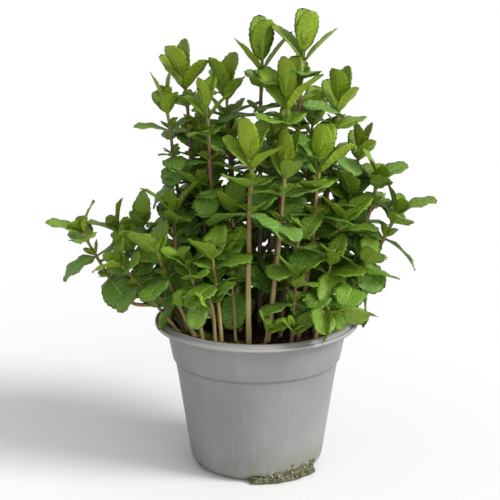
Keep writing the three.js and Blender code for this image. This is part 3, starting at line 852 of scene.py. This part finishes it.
def turned(name, profile, segments):
    """A profile of (radius, height), from the axis outwards, up and back to the axis, turned about
    Z into a closed body."""
    points = []
    rings = []
    angles = np.linspace(0, 2 * math.pi, segments, endpoint=False)
    for radius, height in profile:
        first = len(points)
        count = segments if radius else 1
        rings.append([first + i % count for i in range(segments)])
        for angle in angles[:count]:
            x, y = radius * math.cos(angle), radius * math.sin(angle)
            points.append((x * MM, y * MM, height * MM))
    faces = []
    for lower, upper in zip(rings, rings[1:]):
        for i in range(segments):
            j = (i + 1) % segments
            corners = [lower[i], lower[j], upper[j], upper[i]]
            faces.append(tuple(dict.fromkeys(corners)))
    return mesh_from(name, points, faces)


def corner_arc(radius, inset, steps=12):
    angles = np.linspace(-90, -8.5, steps)
    return [
        (BASE_RADIUS + radius * math.cos(rad(a)), inset + radius + radius * math.sin(rad(a)))
        for a in angles
    ]


def pot_outside():
    return [
        *((0, 0.6), (25, 0.6), (27.4, 0.1), (28.6, 0)),
        *corner_arc(CORNER_RADIUS, 0),
        (50.6, 60),
        (WALL_TOP_RADIUS, STEP_HEIGHT - 1),
        (WALL_TOP_RADIUS + 0.3, STEP_HEIGHT - 0.5),
        (COLLAR_FOOT_RADIUS - 0.3, STEP_HEIGHT + 0.4),
        (COLLAR_FOOT_RADIUS + 0.1, STEP_HEIGHT + 1),
        (56, 82.6),
        (COLLAR_TOP_RADIUS - 0.2, 93.8),
        (COLLAR_TOP_RADIUS + 0.2, 94.7),
        (COLLAR_TOP_RADIUS + 1.2, 95.1),
    ]


# The rim's section from its outer underside over the top to the inside: radius against the rim's
# own, and height.
RIM_SECTION = [
    (-1.8, 95.1), (-1.3, 94.7), (-0.9, 94.1), (-0.4, 94), (0, 94.4), (0, 95.7), (-0.25, 96.2),
    (-0.8, 96.4), (-1.5, 96.3), (-2, 95.8), (-2.6, 95.9), (-3.1, 96.7), (-3.7, 97.6),
    (-4.6, POT_HEIGHT), (-5.6, POT_HEIGHT), (-6.6, 97.5), (-7.4, 96.4),
]


def pot_rim():
    return [(RIM_RADIUS + inward, height) for inward, height in RIM_SECTION]


def pot_inside(inset):
    return [
        (COLLAR_TOP_RADIUS - inset, 95),
        (COLLAR_FOOT_RADIUS - inset, STEP_HEIGHT + 0.8),
        (WALL_TOP_RADIUS - inset, STEP_HEIGHT - 0.4),
        *reversed(corner_arc(CORNER_RADIUS - inset, inset)),
        (0, inset),
    ]


def slot_cutter():
    """The drain slots in the base's rounded corner: six upright bars with round ends."""
    work = bmesh.new()
    for i in range(SLOT_COUNT):
        outline = []
        for end, first in ((1, -90), (-1, 90)):
            for angle in np.linspace(first, first + 180, 9):
                x = SLOT_PLACE + end * SLOT_HALF_LENGTH + SLOT_ROUND * math.cos(rad(angle))
                y = SLOT_ROUND * math.sin(rad(angle))
                outline.append(Vector((x, y, -SLOT_BAR / 2)) * MM)
        turn = Matrix.Rotation((i + 0.5) / SLOT_COUNT * 2 * math.pi, 3, "Z")
        ring = [work.verts.new(turn @ point) for point in outline]
        bottom = work.faces.new(ring)
        grown = bmesh.ops.extrude_face_region(work, geom=[bottom])
        tops = [item for item in grown["geom"] if isinstance(item, bmesh.types.BMVert)]
        bmesh.ops.translate(work, verts=tops, vec=(0, 0, SLOT_BAR * MM))
    bmesh.ops.recalc_face_normals(work, faces=work.faces)
    return mesh_of("slot_cutter", work)


def make_pot():
    profile = pot_outside() + pot_rim() + pot_inside(WALL)
    blank = link("pot_blank", turned("pot", profile, POT_SEGMENTS))
    cutter = link("slot_cutter", slot_cutter())
    cut = blank.modifiers.new("slots", "BOOLEAN")
    cut.operation = "DIFFERENCE"
    cut.solver = "EXACT"
    cut.object = cutter
    ready = blank.evaluated_get(bpy.context.evaluated_depsgraph_get())
    mesh = bpy.data.meshes.new_from_object(ready)
    bpy.data.objects.remove(blank)
    bpy.data.objects.remove(cutter)
    mesh.shade_smooth()
    mesh.set_sharp_from_angle(angle=rad(50))
    mesh.materials.clear()
    mesh.materials.append(pot_plastic)
    return link("nursery_pot", mesh)


claim(make_pot(), "pot")

# ---- soil, moss and roots

SOIL_LUMP = 1.3
SOIL_SEGMENTS = 144
SOIL_RINGS = 44
SOIL_TO_WALL = 0.3
STREWN_RADIUS = 53  # crumbs keep inside it, clear of the pot's collar


def soil_rise(x, y):
    """The soil's low lumps over its level."""
    wave = math.sin(x * 0.31 + 1.3) * math.cos(y * 0.27) + 0.6 * math.sin(x * 0.13 - y * 0.19)
    return SOIL_LUMP * (wave - (x * x + y * y) / 4000)


def rubble(name, count, seed, stretch, roughness):
    """A few small broken shapes of twenty faces each."""
    shapes = bpy.data.collections.new(name)
    chance = np.random.default_rng(seed)
    for number in range(count):
        work = bmesh.new()
        bmesh.ops.create_icosphere(work, subdivisions=1, radius=0.5)
        for corner in work.verts:
            corner.co *= chance.uniform(1 - roughness, 1)
            corner.co.x *= stretch
        label = f"{name}_{number}"
        shelve(shapes, label, mesh_of(label, work))
    return shapes


FULL_TURN = 6.283


def random_number(build, seed):
    """A number from 0 to 1 for each point or shape."""
    inputs = {2: 0.0, 3: 1.0, 8: seed}
    return build.node("FunctionNodeRandomValue", {"data_type": "FLOAT"}, inputs, output=1)


def scatter_tree():
    """Small shapes strewn over the marked faces, turned at random or, where Upright is near 1,
    standing straight out of them. Most are near the smallest size."""
    group, build, wires = new_tree(
        "strewn_bits", Shapes="Collection", Density="Float", Smallest="Float",
        Largest="Float", Upright="Float", Seed="Int", Finish="Material",
    )
    inputs = {
        "Mesh": wires["Geometry"],
        "Selection": named(build, "strewn", "BOOLEAN"),
        "Density": wires["Density"],
        "Seed": wires["Seed"],
    }
    spots = build.geo("DistributePointsOnFaces", inputs)
    straight = Wire(build, spots.socket.node.outputs["Rotation"])
    inputs = {0: (0, 0, 0), 1: (FULL_TURN,) * 3, 8: 11}
    full = build.node("FunctionNodeRandomValue", {"data_type": "FLOAT_VECTOR"}, inputs)
    inputs = {0: full, "Scale": 1 - wires["Upright"]}
    loose = build.node("ShaderNodeVectorMath", {"operation": "SCALE"}, inputs)
    spin = build.node("FunctionNodeEulerToRotation", inputs={0: loose})
    inputs = {0: straight, 1: spin}
    turn = build.node("FunctionNodeRotateRotation", {"rotation_space": "LOCAL"}, inputs)
    chance = random_number(build, 5)
    size = wires["Smallest"] + (wires["Largest"] - wires["Smallest"]) * chance * chance * chance
    bits = copies(build, spots, wires["Shapes"], turn, size)
    settings = {"data_type": "FLOAT", "domain": "INSTANCE"}
    inputs = {0: bits, "Name": "shade", "Value": random_number(build, 3)}
    bits = build.geo("StoreNamedAttribute", inputs, settings)
    bits = build.geo("RealizeInstances", {0: bits})
    whole = build.geo("JoinGeometry", {0: [wires["Geometry"], bits]})
    end_tree(group, build, with_material(build, whole, wires["Finish"]))
    return group


scatter_group = scatter_tree()
crumbs = rubble("crumb", count=5, seed=3, stretch=1.25, roughness=0.45)


def strew(name, mesh, marked, shapes, finish, density, sizes, seed, upright=0.0):
    """A piece: the mesh, with small shapes strewn over its marked faces."""
    put_attribute(mesh, "strewn", "BOOLEAN", "FACE", marked)
    values = {
        "Shapes": shapes,
        "Density": float(density),  # for each square metre
        "Smallest": sizes[0] * MM,
        "Largest": sizes[1] * MM,
        "Upright": upright,
        "Seed": seed,
        "Finish": finish,
    }
    return run_tree(name, mesh, scatter_group, values)


def make_soil():
    side = list(reversed(pot_inside(WALL + SOIL_TO_WALL)[1:]))
    edge = COLLAR_TOP_RADIUS - WALL - 1.3
    rings = [(edge * (1 - i / SOIL_RINGS), SOIL_LEVEL) for i in range(SOIL_RINGS)]
    mesh = turned("soil_body", [*side, *rings, (0, SOIL_LEVEL)], SOIL_SEGMENTS)
    for corner in mesh.vertices:
        if corner.co.z > (SOIL_LEVEL - 0.1) * MM:
            x, y = corner.co.x / MM, corner.co.y / MM
            clods = 1.1 * noise.noise(Vector((x, y, 2)) * 0.32)
            grit = 0.6 * noise.noise(Vector((x, y, 9)) * 0.9)
            corner.co.z = (SOIL_LEVEL + soil_rise(x, y) + (clods + grit)) * MM
    level, reach = (SOIL_LEVEL - 4) * MM, STREWN_RADIUS * MM
    top = [
        face.center.z > level and face.center.xy.length < reach and face.normal.z > 0.5
        for face in mesh.polygons
    ]
    spread = {"density": 330000, "sizes": (0.9, 5.5), "seed": 4}
    return strew("potting_soil_bed", mesh, top, crumbs, peat, **spread)


claim(make_soil(), "potting_soil")


def sprig_shapes():
    """Moss sprigs: slim three-sided spindles that stand up from the cushion."""
    shapes = bpy.data.collections.new("sprigs")
    for number, lean in enumerate((0.0, 0.25, -0.3)):
        points = [(0, 0, -0.1)]
        for height, radius in ((0.35, 0.22), (0.7, 0.16)):
            for angle in (0, 120, 240):
                x = radius * math.cos(rad(angle)) + lean * height
                points.append((x, radius * math.sin(rad(angle)), height))
        points.append((lean * 1.2, 0, 1.0))
        faces = []
        for i in range(3):
            j = (i + 1) % 3
            faces += [(0, 1 + j, 1 + i), (1 + i, 1 + j, 4 + j, 4 + i), (4 + i, 4 + j, 7)]
        label = f"sprig_{number}"
        shelve(shapes, label, mesh_from(label, points, faces))
    return shapes


sprigs = sprig_shapes()


def make_moss(name, seed):
    """A low cushion, lumpy and covered with sprigs."""
    low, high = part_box(name)
    centre, half = (low + high) / 2, (high - low) / 2
    work = bmesh.new()
    bmesh.ops.create_icosphere(work, subdivisions=4, radius=1)
    for corner in work.verts:
        lump = 1 + 0.12 * noise.noise(corner.co * 2.2 + Vector((seed, 0, 0)))
        place = corner.co * lump * 0.92
        corner.co = centre + Vector((place.x * half.x, place.y * half.y, place.z * half.z))
    mesh = mesh_of(name + "_draft", work)
    top = [face.normal.z > 0.05 for face in mesh.polygons]
    spread = {"density": 5200000, "sizes": (0.7, 1.7), "seed": seed, "upright": 0.88}
    return strew(name + "_cushion", mesh, top, sprigs, moss_green, **spread)


claim(make_moss("moss_1", 3), "moss_1")
claim(make_moss("moss_2", 8), "moss_2")

FRINGE_RADIUS = 55  # the heap's outer edge

# Moss and litter heaped against the wall at the front left: bearing, radius and crown's height.
MOSS_FRINGE = [
    (-158, 4.5, 94.2), (-147, 6.0, 95.0), (-135, 5.0, 94.6), (-124, 6.5, 95.4), (-113, 5.0, 94.8),
    (-104, 6.0, 95.6), (-95, 4.0, 94.8), (-86, 4.5, 95.2), (-75, 3.2, 94.2),
]


def make_moss_fringe():
    work = bmesh.new()
    for bearing, radius, crown in MOSS_FRINGE:
        centre = polar(FRINGE_RADIUS - radius, rad(bearing), SOIL_LEVEL)
        made = bmesh.ops.create_icosphere(work, subdivisions=3, radius=1)
        for corner in made["verts"]:
            lump = 0.95 + 0.3 * noise.noise(corner.co * 1.7 + centre)
            size = Vector((radius, radius, crown - SOIL_LEVEL)) * lump
            corner.co = (centre + corner.co * size) * MM
    mesh = mesh_of("moss_fringe_draft", work)
    top = [face.normal.z > 0 for face in mesh.polygons]
    spread = {"density": 3600000, "sizes": (0.6, 1.8), "seed": 21, "upright": 0.8}
    return strew("moss_fringe", mesh, top, sprigs, moss_brown, **spread)


fringe = make_moss_fringe()
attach(fringe, "root")


def corner_radius_at(height):
    """The outside of the pot's rounded corner at a height."""
    drop = CORNER_RADIUS - min(height, CORNER_RADIUS)
    return BASE_RADIUS + math.sqrt(CORNER_RADIUS**2 - drop**2)


# The root clump: between which bearings it lies, in how many steps, and its crest's height at the
# left and right.
ROOT_BEARINGS = (-98, -28)
ROOT_STEPS = 96
ROOT_CRESTS = (3.6, 10.4)
ROOT_BITE = 0.5  # how deep it presses into the wall
ROOT_LUMP = 1.3
FLOOR_GAP = 0.12

# Its section: first the points on the wall, as shares of the crest's height, then the outside
# ones, as (height, how far they stand proud of the wall).
ROOT_INNER = [1, 0.7, 0.4, 0.05]
ROOT_OUTER = [
    (0.12, 4.2), (0.14, 7.4), (0.5, 7.6), (1.5, 6.4), (2.6, 3.4), (4, 1.3), (6, 0.4), (8, 0.05),
    (10, -0.3),
]


def root_section(angle, taper):
    """The clump's outline at a bearing."""
    away = polar(1, angle, 0.5)
    climb = min(1, max(0, math.cos(angle) / 0.7))
    crest = ROOT_CRESTS[0] + (ROOT_CRESTS[1] - ROOT_CRESTS[0]) * climb**2 * (3 - 2 * climb)
    crest *= 1 + 0.4 * noise.noise(Vector((angle * 11, 0, 0)))
    places = []
    for share in ROOT_INNER:
        height = max(FLOOR_GAP, crest * share * taper)
        places.append(polar(corner_radius_at(height) - ROOT_BITE, angle, height))
    for level, proud in ROOT_OUTER:
        height = max(FLOOR_GAP, min(level, crest) * taper)
        place = polar(corner_radius_at(height) + proud * taper, angle, height)
        if height > 0.2:
            place += away * (ROOT_LUMP * noise.noise(place * 0.4) * taper)
            place.z = max(place.z, FLOOR_GAP)
        places.append(place)
    return places


def make_root_clump():
    """Soil and moss caught in the roots that have come out of the drain slots. They fill the space
    under the pot's rounded corner and climb its wall towards the right, thinner and more ragged."""
    angles = np.linspace(*map(rad, ROOT_BEARINGS), ROOT_STEPS)
    points = []
    for i, angle in enumerate(angles):
        taper = min(1, 5 * math.sin(math.pi * (i + 0.3) / (ROOT_STEPS - 0.4)))
        points += [place * MM for place in root_section(angle, taper)]
    count = len(ROOT_INNER) + len(ROOT_OUTER)
    faces = []
    for first in range(0, len(points) - count, count):
        for k in range(count):
            a, b = first + k, first + (k + 1) % count
            faces.append((a, b, b + count, a + count))
    faces.append(tuple(reversed(range(count))))
    faces.append(tuple(range(len(points) - count, len(points))))
    mesh = mesh_from("root_draft", points, faces)
    rework(mesh, bmesh.ops.recalc_face_normals, "faces")
    marked = [
        face.normal.z > -0.3 and face.center.z > 0.8 * MM and noise.noise(face.center * 400) > -0.3
        for face in mesh.polygons
    ]
    spread = {"density": 1400000, "sizes": (0.5, 2.3), "seed": 9}
    return strew("root_clump_tangle", mesh, marked, crumbs, root_brown, **spread)


claim(make_root_clump(), "root_clump")

# ---- fallen leaves

FALLEN_TILT = 10


def make_fallen_leaf(number, turn, shape):
    """A dry blade that lies on the soil, in its CAD node's place."""
    node = f"fallen_leaf_{number}"
    low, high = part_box(node)
    centre, length = (low + high) / 2, (high - low).xy.length * 0.95
    mesh = bpy.data.objects[f"blade_{shape:02d}"].data.copy()
    heading = Matrix.Rotation(rad(turn - 90), 4, "Z") @ Matrix.Rotation(rad(FALLEN_TILT), 4, "X")
    middle = Matrix.Translation((0, -0.5, 0.05))
    mesh.transform(Matrix.Translation(centre) @ heading @ Matrix.Scale(length, 4) @ middle)
    corners = len(mesh.vertices)
    put_attribute(mesh, "age", "FLOAT", "POINT", np.full(corners, 0.15 * number))
    put_attribute(mesh, "tint", "FLOAT", "POINT", np.full(corners, 0.5))
    mesh.materials.append(dry_leaf)
    mesh.shade_smooth()
    claim(link(node + "_blade", mesh), node)


for number, (turn, shape) in enumerate(((5, 4), (130, 6), (10, 1)), start=1):
    make_fallen_leaf(number, turn, shape)

for shapes in (blade_shapes, crumbs, sprigs):
    for pattern in list(shapes.objects):
        bpy.data.objects.remove(pattern)
    bpy.data.collections.remove(shapes)

# ---- floor

FLOOR_REACH = 9
floor_finish = Finish("pale_floor", Roughness=0.9)
floor_finish.surface.inputs["Base Color"].default_value = (0.8, 0.8, 0.8, 1)
around = ((-1, -1), (1, -1), (1, 1), (-1, 1))
corners = [(x * FLOOR_REACH, y * FLOOR_REACH, 0) for x, y in around]
floor_mesh = mesh_from("floor", corners, [(0, 1, 2, 3)])
floor_mesh.materials.append(floor_finish.material)
link("floor", floor_mesh)
